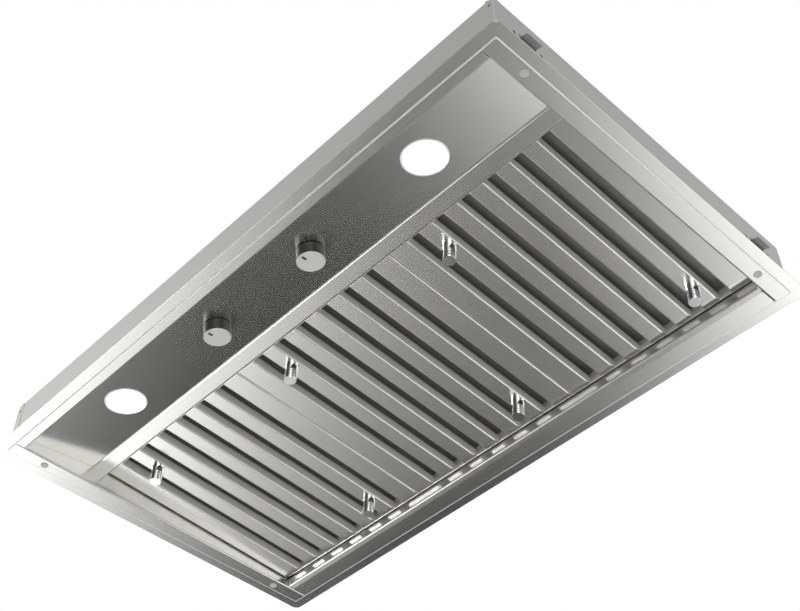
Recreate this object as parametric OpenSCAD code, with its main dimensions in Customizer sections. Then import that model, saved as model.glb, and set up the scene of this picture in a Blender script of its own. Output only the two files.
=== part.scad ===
// Built-in range hood insert: a flanged steel box with a recessed control panel, three baffle
// filters that slope down to a grease tray at the back, and a centrifugal blower under a duct collar.
// X runs along the long side, Y from the front to the back and Z up. Z = 0 is the upper face of the
// flange, where it meets the underside of the cabinet.

/* [Body] */
// Width of the body over its side walls
body_w = 1016; // [980:1:1060]
// Depth of the body over its front and back walls
body_d = 577; // [560:1:620]
// Height of the walls above the flange
wall_h = 87; // [80:1:110]
// Thickness of the body sheet
sheet_t = 1.2; // [0.8:0.1:1.6]
// Inside radius of the body's folds
bend_r = 0.8; // [0.4:0.1:2]
// Width of the flange outside the walls
flange_w = 17.5; // [12:0.5:30]
// Radius of the flange's corners
flange_corner_r = 10; // [4:0.5:16]
// Width of the side walls' returns at the four corners
return_w = 12; // [8:0.5:16]
// Height of the cut at the top of each return
return_cut_h = 13; // [8:0.5:20]
// Depth of the top plate's folded edge
top_hem = 14; // [8:1:20]

/* [Rim] */
// Height of the step from the flange down to the rim
rim_step = 1.5; // [1:0.1:2.5]
// Thickness of the rim sheet
rim_t = 1.5; // [1:0.1:2]
// Width of the rim's side strips
rim_side_w = 24; // [20:0.5:28]
// Width of the rim's front strip
rim_front_w = 16.2; // [12:0.2:20]
// Height of the recess's side liners above the rim
liner_h = 62; // [58:1:70]
// Diameter of the access plugs in the side strips
plug_d = 11.7; // [9:0.1:14]
// Distance from a plug's centre to the side wall
plug_inset = 10.2; // [9:0.1:12]
// Distance from a plug's centre to the front or back wall
plug_setback = 59.2; // [40:0.1:80]

/* [Control panel] */
// Height of the panel's front edge above the rim
panel_rise = 17.1; // [12:0.1:20]
// Height of the crossbar above the rim
bar_rise = 31; // [27:0.5:35]
// Distance from the front wall to the crossbar
bar_setback = 133.5; // [125:0.5:145]
// Width of the crossbar
bar_w = 27; // [20:0.5:34]
// Height of the folded edges of the panel and of the crossbar's front
panel_hem = 12; // [8:1:16]
// Height of the crossbar's folded back edge
bar_hem = 18; // [14:1:22]
// Distance from the middle to each lamp
lamp_x = 316.2; // [280:0.1:340]
// Distance from the middle to each knob
knob_x = 98.8; // [80:0.1:120]
// Distance from the front wall to the lamps and knobs
control_setback = 76; // [66:0.5:86]

/* [Lamps] */
// Diameter of a lamp's lens
lens_d = 60; // [50:0.5:64]
// Width of the bezel round the lens
bezel_w = 1.5; // [1.2:0.1:4]
// How far the bezel stands below the panel
bezel_t = 1; // [0.6:0.1:1.1]
// Height of the lamp's can above the panel
can_h = 26; // [18:1:34]

/* [Knobs] */
// Diameter of a knob
knob_d = 39; // [32:0.5:44]
// Length of a knob
knob_len = 19.5; // [16:0.5:26]
// Gap between a knob and the panel
knob_gap = 1; // [0.5:0.1:2]
// Diameter of the switch shafts
stem_d = 6; // [5:0.5:8]
// Side of a switch's square body
switch_w = 34; // [26:1:40]
// Height of a switch's body
switch_h = 24; // [16:1:30]

/* [Filters] */
// Number of slots in each filter
slot_count = 6; // [4:1:7]
// Width of a slot
slot_w = 20.4; // [16:0.2:24]
// Width of the plain margin beside the outer slots
margin_w = 34.2; // [26:0.2:40]
// Thickness of a filter
filter_t = 24; // [20:1:28]
// Height of the lower baffles' sides
baffle_h = 14; // [10:0.5:16]
// Thickness of the filter sheet
filter_sheet = 0.8; // [0.5:0.1:1.2]
// Outside radius of the lower baffles' long folds
baffle_fold_r = 2.1; // [1.4:0.1:4]
// Length over which the lower baffles' back ends curve up
baffle_end_run = 13.5; // [8:0.5:20]
// Height over which they do so
baffle_end_rise = 5; // [3.5:0.1:9]
// How far the upper baffles reach past the slots
hood_lap = 5.6; // [4:0.2:7]
// Gap between two filters
filter_gap = 1; // [0.6:0.1:2]
// Gap between the outer filters and the side liners
filter_side_gap = 2; // [1:0.5:6]
// Gap between the filters and the crossbar
filter_front_gap = 1.2; // [1:0.1:2]
// Gap between the filters and the grease tray's front wall
filter_back_gap = 3; // [2.6:0.1:4]
// How far the filters' front edge lies above the crossbar's face
filter_lift = 2; // [0:0.5:4]
// Height of the filters' lower face above the rim at the back
filter_back_rise = 14; // [12:0.5:16]

/* [Pulls] */
// Length of a pull
pull_len = 29; // [24:0.5:34]
// Diameter of a pull's grip
pull_d = 18.5; // [16:0.5:24]
// Diameter of a pull's neck
pull_neck_d = 19.4; // [14:0.2:20]
// Length of the ribbed grip
pull_grip_len = 18; // [8:0.5:22]
// Distance from a pull to the filter's front or back edge
pull_setback = 46.5; // [38:0.5:60]

/* [Grease tray] */
// Width of the tray, from the back wall
tray_w = 38.3; // [34:0.1:42]
// Width of the raised band along its front edge
tray_band_w = 10.5; // [8:0.5:12]
// How far the band's front edge is raised
tray_band_rise = 0.8; // [0.4:0.1:1.2]
// Height of its front wall
tray_front_h = 16; // [12:0.5:16]
// Height of its back wall
tray_back_h = 30; // [22:1:34]
// Gap at each end of the tray
tray_play = 0.6; // [0.4:0.1:1]

/* [Side clips] */
// Width of a clip's wing
clip_w = 27; // [20:1:32]
// How far a wing stands out of the side wall
clip_out = 12.3; // [8:0.1:16]
// How far a wing's tip droops
clip_droop = 4; // [1:0.5:6]
// Height of the wings' slots above the rim
clip_rise = 50; // [40:1:56]
// Distance between the two screw holes beside a wing
screw_pitch = 48; // [42:1:60]
// Diameter of the screw holes in the side walls
screw_hole_d = 5; // [4:0.5:6]

/* [Blower] */
// Diameter of the blower wheel
wheel_d = 180; // [160:2:190]
// Width of the blower wheel
wheel_w = 120; // [110:2:140]
// Number of blades
blade_count = 36; // [24:1:44]
// Radial depth of the blades
blade_depth = 14; // [10:1:18]
// Gap between the wheel and the tongue of the scroll
tongue_gap = 10; // [6:1:14]
// How far the scroll opens out from its tongue to its outlet
scroll_growth = 50; // [40:1:60]
// Gap between the wheel and each side of the scroll
wheel_side_gap = 6; // [4:0.5:10]
// Diameter of the motor
motor_d = 84; // [70:1:96]
// Length of the motor
motor_len = 56; // [46:1:62]
// Diameter of the motor shaft
shaft_d = 8; // [6:0.5:10]
// Distance from the fan's sides to the blower box
box_side_gap = 46; // [36:1:60]
// Distance from the duct's axis to the wheel's axis, along X
fan_offset = 92; // [88:1:96]
// How far the blower stands back from the middle of the body
fan_back = 20; // [0:1:60]

/* [Duct collar] */
// Outside diameter of the duct collar
collar_d = 200; // [180:1:204]
// Height of the duct collar
collar_h = 50; // [40:1:70]
// Thickness of the collar
collar_t = 1; // [0.8:0.1:1.6]
// Width of the collar's flange
collar_flange_w = 14; // [10:1:18]
// Diameter of the damper rod
rod_d = 4; // [3:0.5:5]
// Outside diameter of the damper's knuckles
knuckle_d = 7; // [6:0.5:9]
// Height of the damper rod above the blower box
damper_rise = 16; // [12:1:24]

/* [Wiring boxes] */
// Width of the junction box
jbox_w = 90; // [70:1:110]
// Depth of the junction box
jbox_d = 80; // [60:1:100]
// Height of the junction box
jbox_h = 46; // [36:1:60]
// Diameter of the supply cable's knockout
knockout_d = 22.2; // [18:0.2:28]
// Length of the lamp driver
driver_w = 120; // [90:1:140]
// Depth of the lamp driver
driver_d = 42; // [30:1:52]
// Height of the lamp driver
driver_h = 28; // [20:1:36]

/* [Clearances] */
// Gap at a seat between pieces that come apart
seat_gap = 0.3; // [0.2:0.05:0.5]
// Radial clearance of a shaft in its bore
run_gap = 0.05; // [0.02:0.01:0.08]
// Gap at the rim's seams
seam = 0.3; // [0.1:0.05:0.5]

/* [Hidden] */
// Smoothness of round parts, and of a fold or curve drawn by points
$fn = 64;
bend_steps = 4;
spiral_steps = 60;
blade_steps = 5;
// Overrun of a cut past the face that it opens
cut = 0.5;

// Levels and lines of the body
half_w = body_w / 2;
half_d = body_d / 2;
face_z = -(sheet_t + rim_step);
wall_y = half_d - sheet_t;
inner_y = half_d - 2 * sheet_t;
roof_z = wall_h - sheet_t;

// Lines of the recess
liner_x = half_w - rim_side_w;
rim_front_y = -half_d + rim_front_w;
bar_y = -half_d + bar_setback;
bar_back_y = bar_y + bar_w;
bar_z = face_z + bar_rise;
panel_z = face_z + panel_rise;
panel_run = bar_y - rim_front_y;
panel_tilt = atan((bar_z - panel_z) / panel_run);
control_run = (-half_d + control_setback - rim_front_y) / cos(panel_tilt);
plug_x = half_w - plug_inset;
plug_y = half_d - plug_setback;
plug_hole_d = plug_d - 2 * sheet_t;
plug_head_t = rim_t / 2;
upstand_h = panel_rise + panel_hem / 2;

// Lamps and controls, measured square to the panel
lamp_hole_d = lens_d - 2 * sheet_t;
bezel_r = lens_d / 2 + bezel_w;
can_d = lamp_hole_d - 2 * sheet_t;
can_wall = 2 * sheet_t;
lens_t = 2 * sheet_t;
bushing_d = stem_d + 4 * sheet_t;
stem_in_knob = knob_len * 0.65;
stem_in_switch = switch_h * 0.6;
flat_share = 0.85;
tick_len = knob_d / 7.5;
tick_w = knob_d / 30;
tick_depth = knob_d / 80;
tick_r = knob_d * 0.24;
knob_edge = knob_d / 30;

// Filters, in a frame that starts at the lower front edge of the middle of each one
filter_y = bar_back_y + filter_front_gap;
tray_y = half_d - tray_w;
filter_z = bar_z + filter_lift;
filter_drop = filter_z - face_z - filter_back_rise;
filter_run = tray_y - filter_back_gap - filter_y;
filter_tilt = atan(filter_drop / filter_run);
filter_len = filter_run / cos(filter_tilt);
filter_pitch = (2 * (liner_x - filter_side_gap) + filter_gap) / 3;
filter_w = filter_pitch - filter_gap;
strip_w = (filter_w - 2 * margin_w - slot_count * slot_w) / (slot_count - 1);
slot_pitch = strip_w + slot_w;
first_slot_x = -(slot_count - 1) / 2 * slot_pitch;
lip_w = filter_t / 2;
weld_in = filter_sheet / 2;
hood_w = slot_w + 2 * hood_lap;
hood_side = baffle_h * 0.64;
hood_top = filter_t - filter_sheet;
tongue_rise = filter_t * 0.21;
tongue_len = filter_t * 0.6;
tongue_seat = tongue_len * 0.42;
// Place of a point of the tongue's lower face, a distance behind the filter's back, in Y and Z
function tongue_point(u) = [
    filter_y + (filter_len + u) * cos(filter_tilt) + tongue_rise * sin(filter_tilt),
    filter_z - (filter_len + u) * sin(filter_tilt) + tongue_rise * cos(filter_tilt)
];

// Rear rail that carries the filters' tongues
pivot = tongue_point(tongue_seat);
tip = tongue_point(tongue_len);
ledge_z = tip.y - seat_gap;
rail_y = tip.x + 2 * sheet_t;
rail_top = face_z + liner_h * 0.72;
ledge_w = filter_w / 8;
ledge_x = filter_w / 3;

// Leaf springs on the crossbar: each rises over its folded back edge and bulges at 45 degrees
catch_t = filter_sheet;
catch_r = bend_r / 2;
catch_foot = bar_hem / 3;
catch_bulge = sheet_t + filter_front_gap - seat_gap - (catch_t + catch_r - sqrt(2) * catch_r);
catch_leg = catch_bulge + catch_t;

// Pulls
pull_x = (slot_count / 2 - 1) * slot_pitch;
pull_places = [[-pull_x, pull_setback], [pull_x, filter_len - pull_setback]];
pull_edge = pull_d / 40;
pull_root = pull_neck_d / 36;
stud_d = pull_neck_d / 4;
stud_len = stud_d * 1.4;
stud_nut_d = stud_d * 1.9;
stud_nut_h = stud_d * 0.7;
rib_count = 5;
rib_depth = pull_d / 20;
rib_pitch = pull_grip_len * 0.18;

// Tray
tray_end = liner_x - tray_play;
tray_back_y = inner_y - seat_gap - sheet_t;
tray_clip_w = tray_w;
tray_clip_x = body_w / 3;

// Side clips
clip_z = face_z + clip_rise;
slot_play = clip_w / 14;
slot_z = clip_z - clip_droop;
slot_h = clip_droop + 5 * sheet_t;
clip_leaf = sheet_t * 0.8;
clip_bend_r = bend_r / 2;
clip_top = wall_h - top_hem - sheet_t;
clip_tip = 2 * clip_leaf;
rivet_r = return_w / 6;
rivet_heights = [wall_h - return_cut_h * 1.05, wall_h / 5];

// Blower: the scroll is drawn in X and Z around the wheel's axis
wheel_r = wheel_d / 2;
tongue_angle = 70;
scroll_r0 = wheel_r + tongue_gap;
function scroll_r(a) = scroll_r0 + scroll_growth * (a - tongue_angle) / (360 - tongue_angle);
fan_x = -fan_offset;
fan_y = fan_back;
fan_floor_gap = filter_t / 4;
fan_z = filter_z + filter_t + fan_floor_gap + scroll_r(270) + sheet_t;
outlet_rise = scroll_r0 + tongue_gap;
outlet_x0 = scroll_r0 * cos(tongue_angle);
box_roof_z = fan_z + outlet_rise;
box_gap = tongue_gap;
scroll_w = wheel_w + 2 * wheel_side_gap;
fan_half = scroll_w / 2 + sheet_t;
collar_r = collar_d / 2;
box_x0 = fan_x - scroll_r(180) - sheet_t - box_gap;
box_x1 = collar_r + collar_flange_w + box_gap;
box_y0 = fan_y - fan_half - box_side_gap;
box_y1 = fan_y + fan_half + box_side_gap;
box_hem = collar_flange_w;
inlet_r = wheel_r - blade_depth * 0.8;
bell_r = wheel_side_gap * 0.8;
bell_lip = 2 * bell_r;
bell_t = sheet_t * 0.7;
ring_h = wheel_w / 20;
ring_w = blade_depth / 2;
blade_t = sheet_t * 0.8;
blade_lean = 12;
disc_t = 2 * sheet_t;
hub_d = shaft_d * 3.5;
bracket_t = 2 * sheet_t;
motor_front_y = fan_y - fan_half - bracket_t;
motor_end_y = motor_front_y + motor_len;
hub_len = fan_y - disc_t / 2 - sheet_t - motor_end_y;
shaft_in_motor = motor_len * 0.8;
motor_edge = motor_d / 14;
arm_w = motor_d / 6;
arm_r = inlet_r + bell_lip + arm_w;
arm_count = 3;
foot_share = 0.8;

// Duct collar and damper
bore_r = collar_r - collar_t;
foot_z = box_roof_z + sheet_t;
rod_z = foot_z + damper_rise;
flap_t = collar_t;
flap_r = bore_r - 2 * collar_t;
stop_w = 4 * collar_t;
knuckle_len = flap_r / 6;
flap_inner = knuckle_d / 2 + collar_t;
left_knuckles = [-0.6 * flap_r, 0.6 * flap_r];
right_knuckles = [-0.3 * flap_r, 0.3 * flap_r];

// Boxes on the top plate
jbox_x = box_x1 + jbox_w;
jbox_y = -jbox_d / 2;
cover_lap = 2 * sheet_t;
driver_x = box_x0 - 1.4 * driver_w;
driver_ear = driver_d / 4;
cap_d = driver_d * 0.8;
cap_h = driver_d * 1.3;
cap_x = jbox_x + cap_d / 2;
cap_y = jbox_y - cap_d;
cap_tab = cap_d / 5;

// Folded sheet: the outline of a sheet whose named face follows a path, with the sheet on its right
function unit(v) = v / norm(v);
function left_of(d) = [-d.y, d.x];
function end_point(p, d, shift) = p - left_of(d) * shift;
function bend_points(a, p, b, t, r, shift) =
    let (
        d0 = unit(p - a),
        d1 = unit(b - p),
        s = sign(cross(d0, d1)),
        turn = acos(max(-1, min(1, d0 * d1))),
        own = s < 0 ? r + t : r,
        centre = p - d0 * own * tan(turn / 2) + s * left_of(d0) * own,
        radius = own + s * shift,
        from = -s * left_of(d0)
    )
    [for (k = [0:bend_steps])
        let (g = s * turn * k / bend_steps)
        centre + radius * [from.x * cos(g) - from.y * sin(g), from.x * sin(g) + from.y * cos(g)]];
function one_side(path, t, r, shift) =
    let (n = len(path))
    concat(
        [end_point(path[0], unit(path[1] - path[0]), shift)],
        [for (i = [1:1:n - 2]) each bend_points(path[i - 1], path[i], path[i + 1], t, r, shift)],
        [end_point(path[n - 1], unit(path[n - 1] - path[n - 2]), shift)]
    );
function reversed(list) = [for (i = [len(list) - 1:-1:0]) list[i]];
function sheet_outline(path, t, r) = concat(one_side(path, t, r, 0), reversed(one_side(path, t, r, t)));

module folded(path, t = sheet_t, r = bend_r) polygon(sheet_outline(path, t, r));

// An outline drawn in Y and Z, run along X about the middle
module along_x(length) translate([-length / 2, 0, 0]) rotate([90, 0, 90])
    linear_extrude(length) children();

// An outline drawn in X and Z, run along Y from a start
module along_y(start, length) translate([0, start + length, 0]) rotate([90, 0, 0])
    linear_extrude(length) children();

module both_sides() {
    children();
    mirror([1, 0, 0]) children();
}

module both_ends() {
    children();
    mirror([0, 1, 0]) children();
}

module plate(x0, x1, y0, y1, z0, z1) translate([x0, y0, z0]) cube([x1 - x0, y1 - y0, z1 - z0]);

// Rectangle with round corners, made of exact arcs
module rounded_rect(w, d, r) {
    square([w - 2 * r, d], center = true);
    square([w, d - 2 * r], center = true);
    for (x = [-1, 1], y = [-1, 1]) translate([x * (w / 2 - r), y * (d / 2 - r)]) circle(r);
}

// Body
module flange() color("gainsboro")
    translate([0, 0, -sheet_t]) linear_extrude(sheet_t) difference() {
        rounded_rect(body_w + 2 * flange_w, body_d + 2 * flange_w, flange_corner_r);
        square([body_w, 2 * wall_y], center = true);
        both_sides() translate([half_w - return_w / 2, 0]) square([return_w, body_d], center = true);
    }

module end_wall() plate(-half_w + sheet_t, half_w - sheet_t, inner_y, wall_y, -sheet_t, wall_h);

module front_wall() color("silver") mirror([0, 1, 0]) end_wall();
module back_wall() color("silver") end_wall();

// Return of a side wall round the body's corner, with its top cut at a slant
module corner_return() along_y(wall_y, sheet_t) polygon([
    [half_w - return_w, -sheet_t], [half_w, -sheet_t], [half_w, wall_h - return_cut_h],
    [half_w - return_w * 0.7, wall_h], [half_w - return_w, wall_h]
]);

module side_wall() difference() {
    union() {
        plate(half_w - sheet_t, half_w, -wall_y, wall_y, -sheet_t, wall_h);
        both_ends() corner_return();
    }
    both_ends() {
        plate(half_w - sheet_t - cut, half_w + cut, plug_y - clip_w / 2 - slot_play,
            plug_y + clip_w / 2 + slot_play, slot_z, slot_z + slot_h);
        for (s = [-1, 1]) translate([half_w - sheet_t - cut, plug_y + s * screw_pitch / 2, clip_z])
            rotate([0, 90, 0]) cylinder(d = screw_hole_d, h = sheet_t + 2 * cut);
        for (z = rivet_heights) translate([half_w - return_w / 2, wall_y - cut, z])
            rotate([-90, 0, 0]) cylinder(r = rivet_r, h = sheet_t + 2 * cut);
    }
}

module right_wall() color("silver") side_wall();
module left_wall() color("silver") mirror([1, 0, 0]) side_wall();

module top_plate() color("lightgray") difference() {
    plate(-half_w + sheet_t, half_w - sheet_t, -inner_y, inner_y, wall_h - top_hem, wall_h);
    plate(-half_w + 2 * sheet_t, half_w - 2 * sheet_t, -inner_y + sheet_t, inner_y - sheet_t,
        wall_h - top_hem - cut, roof_z);
    plate(box_x0, box_x1, box_y0, box_y1, roof_z - cut, wall_h + cut);
}

// Rivets that join the returns to the front and back walls
module corner_rivets() color("darkgray") both_sides() both_ends() for (z = rivet_heights)
    translate([half_w - return_w / 2, wall_y, z]) rotate([-90, 0, 0]) {
        cylinder(r = rivet_r - run_gap, h = sheet_t);
        translate([0, 0, sheet_t]) cylinder(r1 = rivet_r * 1.3, r2 = rivet_r * 0.8, h = rivet_r / 3);
    }

// Rim and recess
module rim_side() difference() {
    along_y(-half_d, body_d)
        folded([[half_w, face_z], [liner_x, face_z], [liner_x, face_z + liner_h]], rim_t);
    both_ends() plate(liner_x - cut, half_w, inner_y, half_d + cut, face_z + rim_t, face_z + liner_h + cut);
    both_ends() translate([plug_x, plug_y, face_z - cut]) cylinder(d = plug_hole_d, h = rim_t + 2 * cut);
}

module rim_right() color("whitesmoke") rim_side();
module rim_left() color("whitesmoke") mirror([1, 0, 0]) rim_side();

module rim_front() color("whitesmoke") along_x(2 * (liner_x - seam)) folded([
    [rim_front_y, face_z + upstand_h], [rim_front_y, face_z], [-half_d, face_z]
], rim_t);

// Plugs of the access holes below the side clips
module rim_plugs() color("darkgray") both_sides() both_ends() translate([plug_x, plug_y, face_z]) {
    translate([0, 0, -plug_head_t]) cylinder(d = plug_d, h = plug_head_t);
    cylinder(d = plug_hole_d - 2 * run_gap, h = rim_t + sheet_t);
}

// Places children on the sloping panel: X along it, Y up the slope, Z square to it
module on_panel(x) translate([x, rim_front_y, panel_z]) rotate([panel_tilt, 0, 0])
    translate([0, control_run, 0]) children();

module control_panel() color("dimgray") difference() {
    along_x(2 * liner_x) folded([
        [bar_y, bar_z + panel_hem], [bar_y, bar_z], [rim_front_y, panel_z],
        [rim_front_y, panel_z + panel_hem]
    ]);
    for (s = [-1, 1]) on_panel(s * lamp_x) translate([0, 0, -sheet_t])
        cylinder(d = lamp_hole_d, h = 3 * sheet_t);
    for (s = [-1, 1]) on_panel(s * knob_x) translate([0, 0, -sheet_t])
        cylinder(d = bushing_d + 2 * run_gap, h = 3 * sheet_t);
}

module crossbar() color("gray") along_x(2 * liner_x) folded([
    [bar_back_y, bar_z + bar_hem], [bar_back_y, bar_z], [bar_y, bar_z], [bar_y, bar_z + panel_hem]
]);

// Rail behind the filters, with two ledges under each filter's tongue
module rear_rail() color("silver") {
    along_x(2 * liner_x) translate([rail_y, ledge_z - sheet_t]) square([sheet_t, rail_top - ledge_z]);
    for (i = [-1:1], s = [-1, 1])
        translate([i * filter_pitch + s * ledge_x - ledge_w / 2, pivot.x, ledge_z - sheet_t])
            cube([ledge_w, rail_y - pivot.x, sheet_t]);
}

// Leaf springs on the crossbar that press on the filters' front edges
module catch_springs() color("lightsteelblue") for (i = [-1:1])
    translate([i * filter_pitch, bar_back_y - sheet_t, bar_z]) along_x(ledge_w) folded([
        [-catch_t, catch_foot],
        [-catch_t, bar_hem + catch_t],
        [catch_bulge, bar_hem + catch_t + catch_leg],
        [-catch_t, bar_hem + catch_t + 2 * catch_leg]
    ], catch_t, catch_r);

// Spring clips in the side walls' slots
module side_clips() color("dimgray") both_sides() both_ends() translate([0, plug_y, 0])
    along_y(-clip_w / 2, clip_w) folded([
        [half_w - sheet_t, clip_top],
        [half_w - sheet_t, clip_z + clip_droop / 2],
        [half_w + clip_out, clip_z - clip_droop / 2],
        [half_w + clip_out - clip_leaf, clip_z - clip_droop / 2 - clip_tip]
    ], clip_leaf, clip_bend_r);

// Grease tray across the back of the rim
module grease_tray() color("gainsboro") difference() {
    union() {
        along_x(2 * tray_end) folded([
            [half_d, face_z], [tray_y + tray_band_w, face_z], [tray_y, face_z + tray_band_rise],
            [tray_y, face_z + tray_front_h]
        ]);
        along_x(2 * tray_end) translate([tray_back_y - sheet_t, face_z + sheet_t])
            square([sheet_t, tray_back_h - sheet_t]);
        both_sides() plate(tray_end - sheet_t, tray_end, tray_y + sheet_t, tray_back_y,
            face_z + sheet_t, face_z + tray_front_h);
    }
    both_sides() plate(tray_end - sheet_t, tray_end + cut, tray_y - cut, tray_y + tray_band_w,
        face_z - cut, face_z + tray_band_rise + sheet_t);
}

// Flat springs on the back wall that hold the tray
module tray_clips() color("lightsteelblue") for (s = [-1, 0, 1]) translate([s * tray_clip_x, 0, 0])
    plate(-tray_clip_w / 2, tray_clip_w / 2, tray_back_y + seat_gap, inner_y,
        face_z + tray_back_h / 3, face_z + tray_back_h);

// Lamps
module lamp_bezels() color("silver") for (s = [-1, 1]) on_panel(s * lamp_x) rotate_extrude() polygon([
    [lamp_hole_d / 2, 0], [lamp_hole_d / 2, -bezel_t / 2], [lens_d / 2, -bezel_t],
    [bezel_r - bezel_t, -bezel_t], [bezel_r, -bezel_t / 3], [bezel_r, 0]
]);

module lamp_lenses() color("white") for (s = [-1, 1]) on_panel(s * lamp_x)
    cylinder(d = lamp_hole_d - 2 * seat_gap, h = lens_t);

module lamp_cans() color("dimgray") for (s = [-1, 1]) on_panel(s * lamp_x) rotate_extrude() polygon([
    [0, can_h], [can_d / 2, can_h], [can_d / 2, sheet_t + lens_t],
    [lamp_hole_d / 2 + can_wall, sheet_t + lens_t], [lamp_hole_d / 2 + can_wall, sheet_t],
    [lamp_hole_d / 2, sheet_t], [lamp_hole_d / 2, lens_t], [can_d / 2 - can_wall, lens_t],
    [can_d / 2 - can_wall, can_h - can_wall], [0, can_h - can_wall]
]);

// Knobs, their shafts and the switches behind the panel
module flat_sided(d, h) intersection() {
    cylinder(d = d, h = h);
    translate([-d / 2, -d / 2, 0]) cube([d, d * flat_share, h]);
}

module knob() difference() {
    translate([0, 0, -knob_gap - knob_len]) rotate_extrude() polygon([
        [0, 0], [knob_d / 2 - knob_edge, 0], [knob_d / 2, knob_edge], [knob_d / 2, knob_len], [0, knob_len]
    ]);
    translate([0, 0, -knob_gap - stem_in_knob]) flat_sided(stem_d + 2 * run_gap, stem_in_knob + cut);
    translate([-tick_w / 2, -tick_r - tick_len, -knob_gap - knob_len - cut])
        cube([tick_w, tick_len, tick_depth + cut]);
}

module knob_shaft() {
    translate([0, 0, -knob_gap - stem_in_knob]) flat_sided(stem_d, stem_in_knob);
    translate([0, 0, -knob_gap]) cylinder(d = stem_d, h = knob_gap + sheet_t + stem_in_switch);
}

module switch_body() difference() {
    union() {
        translate([-switch_w / 2, -switch_w / 2, sheet_t]) cube([switch_w, switch_w, switch_h]);
        cylinder(d = bushing_d, h = 2 * sheet_t);
    }
    translate([0, 0, -cut]) cylinder(d = stem_d + 2 * run_gap, h = sheet_t + stem_in_switch + 2 * cut);
}

module fan_knob() color("gray") on_panel(-knob_x) knob();
module light_knob() color("gray") on_panel(knob_x) knob();
module fan_knob_shaft() color("silver") on_panel(-knob_x) knob_shaft();
module light_knob_shaft() color("silver") on_panel(knob_x) knob_shaft();
module fan_switch() color("black") on_panel(-knob_x) switch_body();
module light_dimmer() color("black") on_panel(knob_x) switch_body();

// Filters
module in_filter(i) translate([i * filter_pitch, filter_y, filter_z]) rotate([-filter_tilt, 0, 0]) children();

// A rectangle with two round lower corners
module rounded_foot(w, h, r) {
    translate([0, r]) square([w, h - r]);
    translate([r, 0]) square([w - 2 * r, r]);
    for (x = [r, w - r]) translate([x, r]) circle(r);
}

// A rectangle with a round lower back corner
module rounded_heel(l, h, run, rise) {
    square([l - run, h]);
    translate([0, rise]) square([l, h - rise]);
    translate([l - run, rise]) scale([run / rise, 1]) circle(rise);
}

// Outline of a trough's outside or inside, with round long folds and a round back end
module trough_form(w, h, y0, l, fold_r, run, rise) intersection() {
    along_y(y0, l) translate([-w / 2, 0]) rounded_foot(w, h, fold_r);
    along_x(w + 2 * cut) translate([y0, 0]) rounded_heel(l, h, run, rise);
}

// A trough of folded sheet, open above and in front, whose back end folds up in a curve
module trough(w, h, l) difference() {
    trough_form(w, h, 0, l, baffle_fold_r, baffle_end_run, baffle_end_rise);
    translate([0, 0, filter_sheet]) trough_form(w - 2 * filter_sheet, h, -cut, l - filter_sheet + cut,
        baffle_fold_r - filter_sheet, baffle_end_run - filter_sheet, baffle_end_rise - filter_sheet);
}

// Frame: two side troughs with their webs, the front edge, and the back edge with its tongue
module filter_frame(i) color("silver") in_filter(i) {
    both_sides() translate([(filter_w - margin_w) / 2, weld_in, 0])
        trough(margin_w, baffle_h, filter_len - weld_in);
    both_sides() along_y(weld_in, filter_len - weld_in) folded([
        [filter_w / 2 - lip_w, filter_t], [filter_w / 2, filter_t], [filter_w / 2, baffle_h - weld_in]
    ], filter_sheet);
    along_x(filter_w) folded([[0, 0], [0, filter_t], [lip_w, filter_t]], filter_sheet);
    along_x(filter_w) folded([
        [filter_len + tongue_len, tongue_rise], [filter_len, tongue_rise], [filter_len, hood_top],
        [filter_len - lip_w, hood_top]
    ], filter_sheet);
}

// Lower baffles: troughs between the slots, with a hole where a pull is fixed
module lower_baffles(i) color("silver") in_filter(i) difference() {
    for (k = [1:slot_count - 1]) translate([first_slot_x + (k - 0.5) * slot_pitch, filter_sheet, 0])
        trough(strip_w, baffle_h, filter_len - filter_sheet);
    for (p = pull_places) translate([p.x, p.y, -cut])
        cylinder(d = stud_d + 2 * run_gap, h = filter_sheet + 2 * cut);
}

// Upper baffles: inverted troughs over the slots, whose sides hang inside the lower ones
module upper_baffles(i) color("gray") in_filter(i) for (k = [0:slot_count - 1])
    translate([first_slot_x + k * slot_pitch, 0, 0])
        along_y(filter_sheet + bend_r, filter_len - filter_sheet - 2 * bend_r) folded([
            [-hood_w / 2, hood_side], [-hood_w / 2, hood_top], [hood_w / 2, hood_top],
            [hood_w / 2, hood_side]
        ], filter_sheet);

// A pull: a smooth neck, a grip with grooves round it and a flat end, on a stud with a nut
module pull() {
    rotate_extrude() polygon(concat(
        [[0, 0], [pull_neck_d / 2, 0], [pull_neck_d / 2 - pull_root, -pull_root]],
        [[pull_neck_d / 2 - pull_root, -(pull_len - pull_grip_len - pull_root)]],
        [for (k = [0:rib_count - 1]) let (z = -(pull_len - pull_grip_len) - k * rib_pitch) each [
            [pull_d / 2, z], [pull_d / 2, z - rib_pitch / 2],
            [pull_d / 2 - rib_depth, z - rib_pitch / 2], [pull_d / 2 - rib_depth, z - rib_pitch]
        ]],
        [[pull_d / 2, -(pull_len - pull_grip_len) - rib_count * rib_pitch]],
        [[pull_d / 2, -pull_len + pull_edge], [pull_d / 2 - pull_edge, -pull_len], [0, -pull_len]]
    ));
    cylinder(d = stud_d, h = filter_sheet + stud_len);
    translate([0, 0, filter_sheet]) cylinder(d = stud_nut_d, h = stud_nut_h, $fn = 6);
}

module filter_pulls(i) color("lightgray") in_filter(i) for (p = pull_places) translate([p.x, p.y, 0]) pull();

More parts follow.
